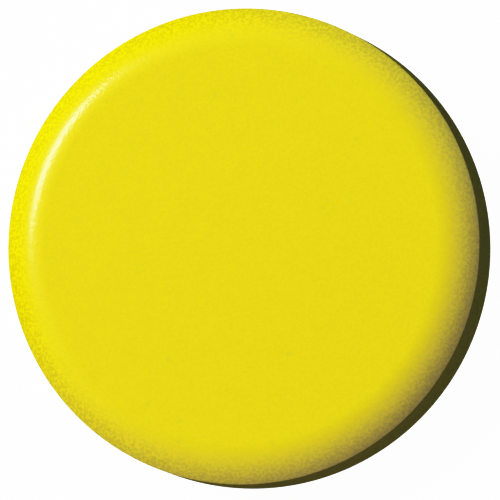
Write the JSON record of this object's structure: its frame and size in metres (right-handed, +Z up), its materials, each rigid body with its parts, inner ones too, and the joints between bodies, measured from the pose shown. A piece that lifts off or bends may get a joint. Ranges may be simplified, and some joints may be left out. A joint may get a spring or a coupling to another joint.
{
  "type": "raised pavement marker",
  "caption": "Round, flat-topped yellow pavement marker with a rounded shoulder: a ribbed moulded shell filled with sand potting, bonded flat to a road.",
  "frame": {"origin": "centre of the underside, on the plane that rests on the road", "axes": "+Z up out of the road, the marker's axis of revolution; +X runs along one radial rib"},
  "size_m": [0.1, 0.1, 0.02],
  "materials": {
    "shell_plastic": "satin",
    "sand_potting": "matte"
  },
  "bodies": {
    "root": {"cap_shell": "shell_plastic", "hub_potting": "sand_potting", "inner_potting_1": "sand_potting", "inner_potting_2": "sand_potting", "inner_potting_3": "sand_potting", "inner_potting_4": "sand_potting", "inner_potting_5": "sand_potting", "inner_potting_6": "sand_potting", "outer_potting_1": "sand_potting", "outer_potting_2": "sand_potting", "outer_potting_3": "sand_potting", "outer_potting_4": "sand_potting", "outer_potting_5": "sand_potting", "outer_potting_6": "sand_potting", "outer_potting_7": "sand_potting", "outer_potting_8": "sand_potting", "outer_potting_9": "sand_potting", "outer_potting_10": "sand_potting", "outer_potting_11": "sand_potting", "outer_potting_12": "sand_potting"}
  },
  "joints": []
}
